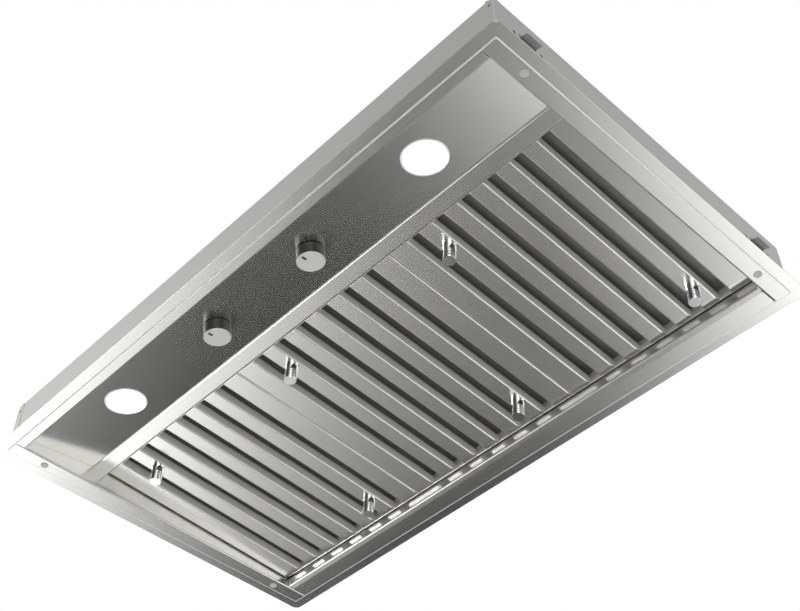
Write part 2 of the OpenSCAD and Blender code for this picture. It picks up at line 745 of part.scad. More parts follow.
module filter_left_frame() filter_frame(-1);
module filter_left_lower_baffles() lower_baffles(-1);
module filter_left_upper_baffles() upper_baffles(-1);
module filter_left_pulls() filter_pulls(-1);
module filter_middle_frame() filter_frame(0);
module filter_middle_lower_baffles() lower_baffles(0);
module filter_middle_upper_baffles() upper_baffles(0);
module filter_middle_pulls() filter_pulls(0);
module filter_right_frame() filter_frame(1);
module filter_right_lower_baffles() lower_baffles(1);
module filter_right_upper_baffles() upper_baffles(1);
module filter_right_pulls() filter_pulls(1);

// Blower box, open below, with the outlet in its roof and a flange round its foot
module blower_box() color("lightgray") difference() {
    union() {
        plate(box_x0, box_x1, box_y0, box_y1, wall_h, foot_z);
        plate(box_x0 - box_hem, box_x1 + box_hem, box_y0 - box_hem, box_y1 + box_hem,
            wall_h, wall_h + sheet_t);
    }
    plate(box_x0 + sheet_t, box_x1 - sheet_t, box_y0 + sheet_t, box_y1 - sheet_t, wall_h - cut, box_roof_z);
    plate(fan_x + outlet_x0, fan_x + scroll_r(360), fan_y - scroll_w / 2, fan_y + scroll_w / 2,
        box_roof_z - cut, foot_z + cut);
}

// Outline of the scroll, a shift outside its inner face, up to a height above the wheel's axis
function scroll_outline(shift, top) = concat(
    [[outlet_x0 - shift, (scroll_r0 + shift) * sin(tongue_angle)]],
    [for (k = [1:spiral_steps])
        let (a = tongue_angle + (360 - tongue_angle) * k / spiral_steps, r = scroll_r(a) + shift)
        [r * cos(a), r * sin(a)]],
    [[scroll_r(360) + shift, top], [outlet_x0 - shift, top]]
);

module scroll_wrap() color("silver") translate([fan_x, 0, fan_z])
    along_y(fan_y - scroll_w / 2, scroll_w) difference() {
        polygon(scroll_outline(sheet_t, outlet_rise));
        polygon(scroll_outline(0, outlet_rise + cut));
    }

// Side of the scroll with its inlet, whose lip turns in towards the wheel
module scroll_plate() translate([0, -fan_half, 0]) {
    along_y(0, sheet_t) difference() {
        polygon(scroll_outline(sheet_t, outlet_rise));
        circle(inlet_r + bell_lip / 2);
    }
    translate([0, (sheet_t - bell_t) / 2, 0]) rotate([-90, 0, 0]) rotate_extrude() folded([
        [inlet_r + bell_lip, 0], [inlet_r, 0], [inlet_r, sheet_t + bell_r]
    ], bell_t, bell_r / 2);
}

module scroll_plate_front() color("silver") translate([fan_x, fan_y, fan_z]) scroll_plate();
module scroll_plate_back() color("silver") translate([fan_x, fan_y, fan_z]) mirror([0, 1, 0]) scroll_plate();

// Forward-curved blade: its inner and outer edges lie on two circles
function blade_point(j, side) =
    let (
        share = j / blade_steps,
        r = wheel_r - blade_t - (blade_depth - blade_t) * (1 - share),
        a = blade_lean * pow(share, 1.6) + side * blade_t / 2 / r * 180 / PI
    )
    [r * cos(a), r * sin(a)];
function blade_outline() = concat(
    [for (j = [0:blade_steps]) blade_point(j, -1)],
    [for (j = [blade_steps:-1:0]) blade_point(j, 1)]
);

module blower_wheel() color("darkgray") translate([fan_x, fan_y, fan_z]) {
    along_y((ring_h - wheel_w) / 2, wheel_w - ring_h) for (k = [0:blade_count - 1])
        rotate(k * 360 / blade_count) polygon(blade_outline());
    for (y = [-wheel_w / 2, wheel_w / 2 - ring_h]) along_y(y, ring_h) difference() {
        circle(wheel_r);
        circle(wheel_r - ring_w);
    }
    along_y(-disc_t / 2, disc_t) difference() {
        circle(wheel_r - ring_w);
        circle(d = shaft_d + 2 * run_gap);
    }
    along_y(-disc_t / 2 - hub_len, hub_len) difference() {
        circle(d = hub_d);
        circle(d = shaft_d + 2 * run_gap);
    }
}

// Places children with Z along the wheel's axis, from a distance along Y
module on_fan_axis(y) translate([fan_x, y, fan_z]) rotate([-90, 0, 0]) children();

module motor() color("dimgray") on_fan_axis(motor_front_y) difference() {
    rotate_extrude() polygon([
        [0, 0], [motor_d / 2 - motor_edge, 0], [motor_d / 2, motor_edge],
        [motor_d / 2, motor_len - 2 * motor_edge], [motor_d / 2 - 2 * motor_edge, motor_len], [0, motor_len]
    ]);
    translate([0, 0, motor_len - shaft_in_motor - cut])
        cylinder(d = shaft_d + 2 * run_gap, h = shaft_in_motor + 2 * cut);
}

module motor_shaft() color("silver") on_fan_axis(motor_end_y - shaft_in_motor)
    cylinder(d = shaft_d, h = fan_y + disc_t / 2 - motor_end_y + shaft_in_motor);

// Bracket that holds the motor in the front inlet
module motor_bracket() color("gray") on_fan_axis(motor_front_y - bracket_t) {
    linear_extrude(bracket_t) {
        circle(d = motor_d - 2 * motor_edge);
        for (k = [0:arm_count - 1]) rotate((k + 0.5) * 360 / arm_count) translate([motor_d / 4, -arm_w / 2])
            square([arm_r - motor_d / 4, arm_w]);
    }
    for (k = [0:arm_count - 1]) rotate((k + 0.5) * 360 / arm_count)
        translate([arm_r - arm_w * foot_share, -arm_w * foot_share / 2, bracket_t / 2])
            cube([arm_w * foot_share - sheet_t, arm_w * foot_share, 1.5 * bracket_t]);
}

// Duct collar with a ring inside that the closed damper rests on
module duct_collar() color("silver") translate([0, fan_y, 0]) difference() {
    union() {
        translate([0, 0, foot_z]) rotate_extrude() polygon([
            [bore_r, 0], [collar_r + collar_flange_w, 0], [collar_r + collar_flange_w, collar_t],
            [collar_r, collar_t], [collar_r, collar_h], [bore_r, collar_h]
        ]);
        translate([0, 0, rod_z - flap_t / 2 - seat_gap - collar_t]) rotate_extrude()
            translate([bore_r - stop_w, 0]) square([stop_w + collar_t / 2, collar_t]);
    }
    translate([0, -collar_r - cut, rod_z]) rotate([-90, 0, 0])
        cylinder(d = rod_d + 2 * run_gap, h = 2 * (collar_r + cut));
}

module damper_rod() color("silver") translate([0, fan_y - collar_r + collar_t / 2, rod_z])
    rotate([-90, 0, 0]) cylinder(d = rod_d, h = 2 * collar_r - collar_t);

// Half of the damper on its own knuckles, on the side where X is positive
module damper_flap(knuckles) difference() {
    union() {
        translate([0, 0, -flap_t / 2]) linear_extrude(flap_t) intersection() {
            circle(flap_r);
            translate([flap_inner, -flap_r]) square([flap_r, 2 * flap_r]);
        }
        for (y = knuckles) {
            plate(0, flap_inner + cut, y - knuckle_len / 2, y + knuckle_len / 2, -flap_t / 2, flap_t / 2);
            translate([0, y - knuckle_len / 2, 0]) rotate([-90, 0, 0])
                cylinder(d = knuckle_d, h = knuckle_len);
        }
    }
    translate([0, -flap_r, 0]) rotate([-90, 0, 0]) cylinder(d = rod_d + 2 * run_gap, h = 2 * flap_r);
}

module damper_flap_right() color("lightgray") translate([0, fan_y, rod_z]) damper_flap(right_knuckles);
module damper_flap_left() color("lightgray") translate([0, fan_y, rod_z])
    mirror([1, 0, 0]) damper_flap(left_knuckles);

// Junction box with a knockout in its outer side, and its cover
module junction_box() color("lightgray") translate([jbox_x, jbox_y, wall_h]) difference() {
    cube([jbox_w, jbox_d, jbox_h]);
    translate([sheet_t, sheet_t, sheet_t]) cube([jbox_w - 2 * sheet_t, jbox_d - 2 * sheet_t, jbox_h]);
    translate([jbox_w - sheet_t - cut, jbox_d / 2, jbox_h / 2]) rotate([0, 90, 0])
        cylinder(d = knockout_d, h = sheet_t + 2 * cut);
}

module junction_cover() color("lightgray") translate([jbox_x, jbox_y, wall_h + jbox_h]) {
    plate(-cover_lap, jbox_w + cover_lap, -cover_lap, jbox_d + cover_lap, 0, sheet_t);
    plate(sheet_t + seat_gap, jbox_w - sheet_t - seat_gap, sheet_t + seat_gap, jbox_d - sheet_t - seat_gap,
        -sheet_t, 0);
}

module lamp_driver() color("white") translate([driver_x, -driver_d / 2, wall_h]) {
    cube([driver_w, driver_d, driver_h]);
    difference() {
        translate([-driver_ear, 0, 0]) cube([driver_w + 2 * driver_ear, driver_d, sheet_t]);
        for (x = [-driver_ear / 2, driver_w + driver_ear / 2]) translate([x, driver_d / 2, -cut])
            cylinder(d = driver_ear / 2, h = sheet_t + 2 * cut);
    }
}

module run_capacitor() color("lightslategray") translate([cap_x, cap_y, wall_h]) {
    cylinder(d = cap_d, h = cap_h);
    for (s = [-1, 1]) translate([s * cap_tab - sheet_t / 2, -cap_tab / 2, cap_h])
        cube([sheet_t, cap_tab, cap_tab]);
}

flange();
front_wall();
back_wall();
left_wall();
right_wall();
top_plate();
rim_left();
rim_right();
rim_front();
control_panel();
crossbar();
rear_rail();
rim_plugs();
corner_rivets();
side_clips();
tray_clips();
catch_springs();
grease_tray();
lamp_bezels();
lamp_lenses();
lamp_cans();
fan_knob();
fan_knob_shaft();
fan_switch();
light_knob();
light_knob_shaft();
light_dimmer();
filter_left_frame();
filter_left_lower_baffles();
filter_left_upper_baffles();
filter_left_pulls();
filter_middle_frame();
filter_middle_lower_baffles();
filter_middle_upper_baffles();
filter_middle_pulls();
filter_right_frame();
filter_right_lower_baffles();
filter_right_upper_baffles();
filter_right_pulls();
blower_box();
scroll_wrap();
scroll_plate_front();
scroll_plate_back();
blower_wheel();
motor();
motor_shaft();
motor_bracket();
duct_collar();
damper_rod();
damper_flap_left();
damper_flap_right();
junction_box();
junction_cover();
lamp_driver();
run_capacitor();
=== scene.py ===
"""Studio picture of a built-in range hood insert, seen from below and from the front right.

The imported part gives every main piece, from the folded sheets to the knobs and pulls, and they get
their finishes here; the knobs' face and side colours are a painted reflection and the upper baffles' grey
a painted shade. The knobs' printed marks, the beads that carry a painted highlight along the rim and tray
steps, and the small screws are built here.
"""

import logging
import math
from dataclasses import dataclass, field
from enum import Enum
from typing import Any, Iterable, Sequence

import bmesh
import bpy
from mathutils import Matrix, Vector


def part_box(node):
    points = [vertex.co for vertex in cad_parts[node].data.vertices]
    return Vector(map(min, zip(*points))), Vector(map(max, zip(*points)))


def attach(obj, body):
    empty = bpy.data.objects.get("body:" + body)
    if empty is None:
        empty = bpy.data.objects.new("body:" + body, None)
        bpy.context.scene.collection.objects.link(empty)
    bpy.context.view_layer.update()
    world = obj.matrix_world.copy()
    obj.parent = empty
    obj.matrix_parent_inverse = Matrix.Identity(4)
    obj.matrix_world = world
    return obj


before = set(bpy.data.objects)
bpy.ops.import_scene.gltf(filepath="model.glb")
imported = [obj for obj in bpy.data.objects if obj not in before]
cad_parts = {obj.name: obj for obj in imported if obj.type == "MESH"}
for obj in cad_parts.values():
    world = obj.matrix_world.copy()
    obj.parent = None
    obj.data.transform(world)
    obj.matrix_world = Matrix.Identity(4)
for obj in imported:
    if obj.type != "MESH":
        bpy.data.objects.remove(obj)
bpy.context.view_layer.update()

LOG = logging.getLogger("range_hood_insert")
MM = 0.001
SMOOTH_ANGLE = math.radians(32.0)
# Most of a noise texture's values lie between these two
NOISE_RANGE = (0.3, 0.7)
Point = tuple[float, float]


# Nodes, colours and meshes


def srgb(code: str) -> tuple[float, float, float, float]:
    """Turns an sRGB hex colour into a linear one.

    Args:
        code: six hex digits, with or without a leading hash.

    Returns:
        The linear colour with an alpha of one.
    """
    digits = code.lstrip("#")
    values = [int(digits[i:i + 2], 16) / 255.0 for i in (0, 2, 4)]
    linear = [v / 12.92 if v <= 0.04045 else ((v + 0.055) / 1.055) ** 2.4 for v in values]
    return (linear[0], linear[1], linear[2], 1.0)


def add_node(
    tree: bpy.types.NodeTree,
    kind: str,
    settings: dict[str, Any] | None = None,
    inputs: dict[str | int, Any] | None = None,
) -> bpy.types.Node:
    """Adds a node with its settings and links.

    Args:
        tree: the node tree that gets the node.
        kind: the node's type name.
        settings: properties of the node and their values.
        inputs: inputs by name or place, each with a plain value or the socket that feeds it.

    Returns:
        The new node.
    """
    node = tree.nodes.new(kind)
    for name, value in (settings or {}).items():
        setattr(node, name, value)
    for name, value in (inputs or {}).items():
        if isinstance(value, bpy.types.NodeSocket):
            tree.links.new(value, node.inputs[name])
        else:
            node.inputs[name].default_value = value
    return node


def new_material(name: str) -> tuple[bpy.types.Material, bpy.types.NodeTree]:
    """Makes an empty node material.

    Args:
        name: the material's name.

    Returns:
        The material and its node tree, with nothing in it.
    """
    material = bpy.data.materials.new(name)
    material.use_nodes = True
    material.node_tree.nodes.clear()
    return material, material.node_tree


def finish_material(tree: bpy.types.NodeTree, shader: bpy.types.Node) -> None:
    """Links a shader to the material's output.

    Args:
        tree: the material's node tree.
        shader: the node whose first output is the surface.
    """
    add_node(tree, "ShaderNodeOutputMaterial", inputs={"Surface": shader.outputs[0]})


def mesh_object(name: str, shape: bmesh.types.BMesh, material: bpy.types.Material) -> bpy.types.Object:
    """Turns a finished shape into an object in the scene.

    Args:
        name: the piece's name.
        shape: the shape, which is freed here.
        material: the finish of all its faces.

    Returns:
        The new object, smooth shaded with its sharp edges kept.
    """
    bmesh.ops.recalc_face_normals(shape, faces=shape.faces)
    mesh = bpy.data.meshes.new(name)
    shape.to_mesh(mesh)
    shape.free()
    mesh.materials.append(material)
    mesh.shade_smooth()
    mesh.set_sharp_from_angle(angle=SMOOTH_ANGLE)
    piece = bpy.data.objects.new(name, mesh)
    bpy.context.scene.collection.objects.link(piece)
    return piece


def lathe(shape: bmesh.types.BMesh, profile: Sequence[Point], place: Matrix, steps: int = 48) -> None:
    """Adds a turned form whose profile starts and ends on the axis.

    Args:
        shape: the shape that gets the form.
        profile: radius and height of each point, in metres.
        place: where the form's own Z axis and origin lie.
        steps: number of faces round the axis.
    """
    rings: list[list[bmesh.types.BMVert]] = []
    for radius, height in profile:
        if radius <= 0.0:
            rings.append([shape.verts.new(place @ Vector((0.0, 0.0, height)))])
            continue
        angles = (2.0 * math.pi * k / steps for k in range(steps))
        rings.append([
            shape.verts.new(place @ Vector((radius * math.cos(a), radius * math.sin(a), height)))
            for a in angles
        ])
    for lower, upper in zip(rings, rings[1:]):
        for k in range(steps):
            n = (k + 1) % steps
            if len(lower) == 1:
                shape.faces.new((lower[0], upper[n], upper[k]))
            elif len(upper) == 1:
                shape.faces.new((lower[k], lower[n], upper[0]))
            else:
                shape.faces.new((lower[k], lower[n], upper[n], upper[k]))


def block(shape: bmesh.types.BMesh, size: Sequence[float], place: Matrix) -> None:
    """Adds a box.

    Args:
        shape: the shape that gets the box.
        size: the box's size along its own axes, in metres.
        place: where the middle of the box lies.
    """
    bmesh.ops.create_cube(shape, size=1.0, matrix=place @ Matrix.Diagonal((*size, 1.0)))


def rolled_bead(
    shape: bmesh.types.BMesh, path: Sequence[Vector], radius: float, sides: int = 10,
) -> None:
    """Adds a round bead along a level path, with mitred corners and closed ends.

    Args:
        shape: the shape that gets the bead.
        path: the bead's middle line, in metres, all at one height.
        radius: the bead's radius, in metres.
        sides: number of faces round it.
    """
    legs = [(b - a).normalized() for a, b in zip(path, path[1:])]
    rings: list[list[bmesh.types.BMVert]] = []
    for k, point in enumerate(path):
        before, after = legs[max(0, k - 1)], legs[min(k, len(legs) - 1)]
        way = (before + after).normalized()
        across = Vector((-way.y, way.x, 0.0)) / way.dot(after)
        rings.append([
            shape.verts.new(point + radius * (
                math.cos(2.0 * math.pi * n / sides) * across
                + math.sin(2.0 * math.pi * n / sides) * Vector((0.0, 0.0, 1.0))))
            for n in range(sides)
        ])
    for first, second in zip(rings, rings[1:]):
        for n in range(sides):
            m = (n + 1) % sides
            shape.faces.new((first[n], first[m], second[m], second[n]))
    shape.faces.new(rings[0])
    shape.faces.new(list(reversed(rings[-1])))


def dress(nodes: Iterable[str], material: bpy.types.Material) -> None:
    """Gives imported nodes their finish.

    Args:
        nodes: names of the nodes.
        material: the finish.
    """
    for name in nodes:
        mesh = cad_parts[name].data
        mesh.materials.clear()
        mesh.materials.append(material)
        LOG.info("dressed %s in %s", name, material.name)


def place_piece(piece: bpy.types.Object, body: str) -> None:
    """Fixes a new piece to its body.

    Args:
        piece: the piece, already in place.
        body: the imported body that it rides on.
    """
    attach(piece, body)
    LOG.info("built %s on %s", piece.name, body)


# Finishes


class Grain(Enum):
    """Direction in which a sheet was brushed."""

    ALONG_X = (1.0, 0.0, 0.0)
    ALONG_Y = (0.0, 1.0, 0.0)


@dataclass(frozen=True)
class BrushedStainless:
    """Austenitic stainless sheet, belt brushed with a fine grit and then folded.

    The belt leaves long fine scratches. They spread a reflection across the grain, so the sheet shows
    broad soft changes of tone and no sharp image.
    """

    name: str
    grain: Grain
    colour: str = "#D6D6D3"
    deep_colour: str = "#CECECA"
    roughness: float = 0.23
    roughness_swing: float = 0.01
    metallic: float = 1.0
    # The belt doesn't reach folded sides, which keep the duller finish of the mill
    side_metallic: float = 1.0
    # Scratches of a 180 grit belt are about 0.1 mm wide; they are drawn wide enough to show
    scratch_mm: float = 1.1
    scratch_length_mm: float = 70.0
    cloud_mm: float = 45.0
    scratch_depth_mm: float = 0.002
    scratch_strength: float = 0.02
    # How much the scratches count beside the clouds in the roughness, and the range of their sum
    scratch_share: float = 0.7
    pattern_range: tuple[float, float] = (0.45, 1.25)
    # Height of the unit normal at which a side turns into a flat
    side_range: tuple[float, float] = (0.3, 0.8)
    # The shears and the folding tool leave every edge slightly round, so it catches a thin light line
    edge_mm: float = 0.9
    # Tilt of the finish's normal, picked to match a bar's tone; the sheet itself stays flat
    lean: tuple[float, float, float] = (0.0, 0.0, 0.0)

    def material(self) -> bpy.types.Material:
        """Builds the finish.

        Returns:
            The material.
        """
        material, tree = new_material(self.name)
        coords = add_node(tree, "ShaderNodeTexCoord")
        across = 1.0 / (self.scratch_mm * MM)
        along = 1.0 / (self.scratch_length_mm * MM)
        scale = tuple(along if part else across for part in self.grain.value)
        stretched = add_node(tree, "ShaderNodeMapping", inputs={
            "Vector": coords.outputs["Object"], "Scale": scale})
        scratches = add_node(tree, "ShaderNodeTexNoise", inputs={
            "Vector": stretched.outputs["Vector"], "Scale": 1.0, "Detail": 3.0, "Roughness": 0.6})
        clouds = add_node(tree, "ShaderNodeTexNoise", inputs={
            "Vector": coords.outputs["Object"], "Scale": 1.0 / (self.cloud_mm * MM), "Detail": 2.0})
        mixed = add_node(tree, "ShaderNodeMath", {"operation": "MULTIPLY_ADD"}, {
            0: scratches.outputs["Fac"], 1: self.scratch_share, 2: clouds.outputs["Fac"]})
        roughness = add_node(tree, "ShaderNodeMapRange", inputs={
            "Value": mixed.outputs["Value"],
            "From Min": self.pattern_range[0], "From Max": self.pattern_range[1],
            "To Min": self.roughness - self.roughness_swing,
            "To Max": self.roughness + self.roughness_swing})
        colour = add_node(tree, "ShaderNodeMix", {"data_type": "RGBA"}, {
            "Factor": scratches.outputs["Fac"], "A": srgb(self.deep_colour), "B": srgb(self.colour)})
        edge = add_node(tree, "ShaderNodeBevel", {"samples": 4}, {"Radius": self.edge_mm * MM})
        leaning = add_node(tree, "ShaderNodeVectorMath", {"operation": "ADD"}, {
            0: edge.outputs["Normal"], 1: self.lean})
        level = add_node(tree, "ShaderNodeVectorMath", {"operation": "NORMALIZE"}, {
            0: leaning.outputs["Vector"]})
        bump = add_node(tree, "ShaderNodeBump", inputs={
            "Height": scratches.outputs["Fac"], "Strength": self.scratch_strength,
            "Distance": self.scratch_depth_mm * MM, "Normal": level.outputs["Vector"]})
        shader = add_node(tree, "ShaderNodeBsdfPrincipled", inputs={
            "Base Color": colour.outputs["Result"], "Metallic": self.metallic,
            "Roughness": roughness.outputs["Result"], "Normal": bump.outputs["Normal"]})
        if self.side_metallic != self.metallic:
            facing = add_node(tree, "ShaderNodeSeparateXYZ", inputs={"Vector": coords.outputs["Normal"]})
            flat = add_node(tree, "ShaderNodeMath", {"operation": "ABSOLUTE"}, {0: facing.outputs["Z"]})
            sheen = add_node(tree, "ShaderNodeMapRange", inputs={
                "Value": flat.outputs["Value"],
                "From Min": self.side_range[0], "From Max": self.side_range[1],
                "To Min": self.side_metallic, "To Max": self.metallic})
            tree.links.new(sheen.outputs["Result"], shader.inputs["Metallic"])
        finish_material(tree, shader)
        return material


@dataclass(frozen=True)
class GalvanisedSheet:
    """Hot-dip galvanised steel sheet, folded and left bare.

    Zinc freezes in flat crystals of a few millimetres, so the sheet shows faint patches that are
    duller or brighter than the next.
    """

    name: str
    colour: str = "#B9BDC0"
    deep_colour: str = "#A3A8AC"
    crystal_mm: float = 9.0
    roughness: float = 0.38
    roughness_swing: float = 0.08

    def material(self) -> bpy.types.Material:
        """Builds the finish.

        Returns:
            The material.
        """
        material, tree = new_material(self.name)
        coords = add_node(tree, "ShaderNodeTexCoord")
        crystals = add_node(tree, "ShaderNodeTexVoronoi", inputs={
            "Vector": coords.outputs["Object"], "Scale": 1.0 / (self.crystal_mm * MM),
            "Randomness": 1.0})
        split = add_node(tree, "ShaderNodeSeparateColor", inputs={"Color": crystals.outputs["Color"]})
        colour = add_node(tree, "ShaderNodeMix", {"data_type": "RGBA"}, {
            "Factor": split.outputs[0], "A": srgb(self.deep_colour), "B": srgb(self.colour)})
        roughness = add_node(tree, "ShaderNodeMapRange", inputs={
            "Value": split.outputs[1], "To Min": self.roughness - self.roughness_swing,
            "To Max": self.roughness + self.roughness_swing})
        shader = add_node(tree, "ShaderNodeBsdfPrincipled", inputs={
            "Base Color": colour.outputs["Result"], "Metallic": 1.0,
            "Roughness": roughness.outputs["Result"]})
        finish_material(tree, shader)
        return material


@dataclass(frozen=True)
class SmallMetal:
    """Small piece of steel, brass or aluminium, turned, drawn or rolled, and then polished or coated.

    Fine marks of the tool and the polishing wheel break the reflection up a little.
    """

    name: str
    colour: str
    roughness: float
    metallic: float = 1.0
    roughness_swing: float = 0.03
    # Polishing marks are finer than a pixel; they are drawn about a millimetre apart
    mark_mm: float = 0.9

    def material(self) -> bpy.types.Material:
        """Builds the finish.

        Returns:
            The material.
        """
        material, tree = new_material(self.name)
        coords = add_node(tree, "ShaderNodeTexCoord")
        marks = add_node(tree, "ShaderNodeTexNoise", inputs={
            "Vector": coords.outputs["Object"], "Scale": 1.0 / (self.mark_mm * MM), "Detail": 2.0})
        roughness = add_node(tree, "ShaderNodeMapRange", inputs={
            "Value": marks.outputs["Fac"], "From Min": NOISE_RANGE[0], "From Max": NOISE_RANGE[1],
            "To Min": self.roughness - self.roughness_swing,
            "To Max": self.roughness + self.roughness_swing})
        shader = add_node(tree, "ShaderNodeBsdfPrincipled", inputs={
            "Base Color": srgb(self.colour), "Metallic": self.metallic,
            "Roughness": roughness.outputs["Result"]})
        finish_material(tree, shader)
        return material


@dataclass(frozen=True)
class KnobWithPaintedReflection:
    """Knob with a painted reflection: its face is pale and its side near black.

    The colour follows which way the surface faces. The near-black side is painted shade that stands for
    the dark surroundings that the polished side mirrors, and the face, which mirrors softly, is painted
    pale.
    """

    name: str
    axis: tuple[float, float, float]
    painted_pale_face_colour: str = "#D4D4D2"
    painted_dark_side_colour: str = "#383837"
    face_metallic: float = 0.45
    roughness: float = 0.46
    roughness_swing: float = 0.04
    # Bead blasting leaves pits of about 0.1 mm, drawn coarser so that they show
    pit_mm: float = 0.9
    # Cosine of the turn away from the axis over which the painted pale face gives way to the painted dark
    # side
    face_to_side_range: tuple[float, float] = (0.35, 0.5)

    def material(self) -> bpy.types.Material:
        """Builds the finish.

        Returns:
            The material.
        """
        material, tree = new_material(self.name)
        coords = add_node(tree, "ShaderNodeTexCoord")
        pits = add_node(tree, "ShaderNodeTexNoise", inputs={
            "Vector": coords.outputs["Object"], "Scale": 1.0 / (self.pit_mm * MM), "Detail": 2.0})
        # Painted reflection: pale where the surface faces along the knob's axis, near black on the side
        facing = add_node(tree, "ShaderNodeVectorMath", {"operation": "DOT_PRODUCT"}, {
            0: coords.outputs["Normal"], 1: self.axis})
        pale_face_mask = add_node(tree, "ShaderNodeMapRange", inputs={
            "Value": facing.outputs["Value"],
            "From Min": self.face_to_side_range[0], "From Max": self.face_to_side_range[1]})
        colour = add_node(tree, "ShaderNodeMix", {"data_type": "RGBA"}, {
            "Factor": pale_face_mask.outputs["Result"], "A": srgb(self.painted_dark_side_colour), "B": srgb(self.painted_pale_face_colour)})
        metal = add_node(tree, "ShaderNodeMath", {"operation": "MULTIPLY"}, {
            0: pale_face_mask.outputs["Result"], 1: self.face_metallic})
        roughness = add_node(tree, "ShaderNodeMapRange", inputs={
            "Value": pits.outputs["Fac"], "From Min": NOISE_RANGE[0], "From Max": NOISE_RANGE[1],
            "To Min": self.roughness - self.roughness_swing,
            "To Max": self.roughness + self.roughness_swing})
        shader = add_node(tree, "ShaderNodeBsdfPrincipled", inputs={
            "Base Color": colour.outputs["Result"], "Metallic": metal.outputs["Value"],
            "Roughness": roughness.outputs["Result"]})
        finish_material(tree, shader)
        return material


@dataclass(frozen=True)
class MouldedPlastic:
    """Glass-filled nylon or polycarbonate, moulded in a spark-eroded tool.

    The tool leaves a fine even grain, so the plastic is dull with small soft glints.
    """

    name: str
    colour: str
    roughness: float = 0.55
    # Spark erosion leaves a grain of about 0.1 mm, drawn coarser so that it shows
    grain_mm: float = 0.8
    grain_depth_mm: float = 0.02
    grain_strength: float = 0.25
    ior: float = 1.5

    def material(self) -> bpy.types.Material:
        """Builds the finish.

        Returns:
            The material.
        """
        material, tree = new_material(self.name)
        coords = add_node(tree, "ShaderNodeTexCoord")
        grain = add_node(tree, "ShaderNodeTexNoise", inputs={
            "Vector": coords.outputs["Object"], "Scale": 1.0 / (self.grain_mm * MM), "Detail": 2.0})
        bump = add_node(tree, "ShaderNodeBump", inputs={
            "Height": grain.outputs["Fac"], "Strength": self.grain_strength,
            "Distance": self.grain_depth_mm * MM})
        shader = add_node(tree, "ShaderNodeBsdfPrincipled", inputs={
            "Base Color": srgb(self.colour), "Roughness": self.roughness, "IOR": self.ior,
            "Normal": bump.outputs["Normal"]})
        finish_material(tree, shader)
        return material


@dataclass(frozen=True)
class LitLens:
    """Frosted polycarbonate in front of lit diodes.

    The frosting spreads the light, so the whole disc glows evenly and falls off a little at its edge.
    """

    name: str
    colour: str = "#FFFEFA"
    glow: float = 1.25
    roughness: float = 0.5
    roughness_swing: float = 0.1
    # Frosting is finer than a pixel; it is drawn about a millimetre wide
    frost_mm: float = 1.1111
    ior: float = 1.58

    def material(self) -> bpy.types.Material:
        """Builds the finish.

        Returns:
            The material.
        """
        material, tree = new_material(self.name)
        coords = add_node(tree, "ShaderNodeTexCoord")
        frost = add_node(tree, "ShaderNodeTexNoise", inputs={
            "Vector": coords.outputs["Object"], "Scale": 1.0 / (self.frost_mm * MM), "Detail": 2.0})
        roughness = add_node(tree, "ShaderNodeMapRange", inputs={
            "Value": frost.outputs["Fac"], "To Min": self.roughness - self.roughness_swing,
            "To Max": self.roughness + self.roughness_swing})
        shader = add_node(tree, "ShaderNodeBsdfPrincipled", inputs={
            "Base Color": srgb(self.colour), "Roughness": roughness.outputs["Result"], "IOR": self.ior,
            "Emission Color": srgb(self.colour), "Emission Strength": self.glow})
        finish_material(tree, shader)
        return material


# Sub-assemblies


@dataclass
class Housing:
    """The folded box: flange, walls, rim, roof and the plates of the recess."""

    wide_nodes: tuple[str, ...] = (
        "flange", "front_wall", "back_wall", "rim_front", "control_panel")
    deep_nodes: tuple[str, ...] = ("left_wall", "right_wall", "rim_left", "rim_right")

    def build(self) -> None:
        """Dresses the sheets, each with its grain along the way it was cut."""
        dress(self.wide_nodes, BrushedStainless("stainless_brushed_across", Grain.ALONG_X).material())
        dress(self.deep_nodes, BrushedStainless("stainless_brushed_deep", Grain.ALONG_Y).material())
        dress(("crossbar",), BrushedStainless(
            "crossbar_stainless_brushed", Grain.ALONG_X, side_metallic=0.0, edge_mm=0.5,
            lean=(0.0, -0.043, 0.0)).material())
        dress(("grease_tray",), BrushedStainless(
            "tray_stainless_brushed", Grain.ALONG_X, roughness=0.25, side_metallic=0.7).material())
        dress(("top_plate", "rear_rail"), GalvanisedSheet("galvanised_body_sheet").material())
        dress(("corner_rivets",), SmallMetal("rivets_satin_steel", "#8F908E", 0.35).material())
        dress(("rim_plugs",), MouldedPlastic("plugs_grey_nylon", "#BDBDBA", 0.6).material())
        dress(("side_clips",), SmallMetal("clips_phosphated_spring_steel", "#B9BAB8", 0.5, 0.3).material())
        springs = SmallMetal("springs_bright_strip", "#AEB0B2", 0.25).material()
        dress(("catch_springs", "tray_clips"), springs)


@dataclass
class HighlightBeads:
    """Round beads where the rim and the tray step down from the flange, rounding the step edges; their
    near-white, dull colour is a painted highlight.
    """

    half_w_mm: float = 508.0
    half_d_mm: float = 288.5
    tray_end_mm: float = 483.4
    height_mm: float = -1.9
    radius_mm: float = 1.0
    end_gap_mm: float = 1.0

    def bead(self, name: str, corners: Sequence[Point], body: str, material: bpy.types.Material) -> None:
        """Lays one bead.

        Args:
            name: the piece's name.
            corners: the points that it runs through, in millimetres.
            body: the body that it rides on.
            material: its finish.
        """
        shape = bmesh.new()
        path = [Vector((x, y, self.height_mm)) * MM for x, y in corners]
        rolled_bead(shape, path, self.radius_mm * MM)
        place_piece(mesh_object(name, shape, material), body)

    def build(self) -> None:
        """Lays the beads on the rim and on the tray."""
        # Near white and barely metallic so that the beads read as a bright line: a painted highlight along
        # the rim and tray steps
        metal = SmallMetal("bead_painted_highlight", "#F4F4F2", 0.4, 0.15).material()
        w, d, end = self.half_w_mm, self.half_d_mm, self.tray_end_mm
        start = end + self.end_gap_mm
        round_rim = ((-start, d), (-w, d), (-w, -d), (w, -d), (w, d), (start, d))
        self.bead("rim_edge_highlight_bead", round_rim, "hood", metal)
        self.bead("tray_edge_highlight_bead", ((-end, d), (end, d)), "grease_tray_body", metal)


